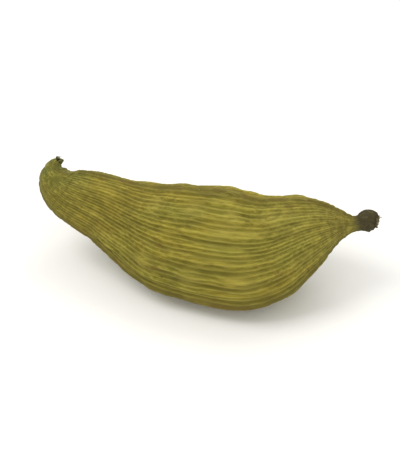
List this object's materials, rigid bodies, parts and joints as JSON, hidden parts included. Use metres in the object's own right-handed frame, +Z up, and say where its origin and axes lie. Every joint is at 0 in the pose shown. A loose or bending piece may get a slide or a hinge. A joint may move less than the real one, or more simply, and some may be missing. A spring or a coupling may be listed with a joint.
{
  "type": "green cardamom pod",
  "caption": "Dried three-sided green cardamom pod with ribbed husk, raised keels, upturned beak and short stalk stub, lying on one face.",
  "frame": {"origin": "on the surface that the pod lies on, under the middle of its bounding box", "axes": "+X from the beak to the stalk, +Y to the hollow side of the pod's curve, +Z up"},
  "size_m": [0.0216, 0.0076, 0.0068],
  "materials": {
    "dried_husk": "matte, papery and ribbed, olive green with straw-coloured ends"
  },
  "bodies": {
    "root": {"cardamom_pod": "dried_husk"}
  },
  "joints": []
}
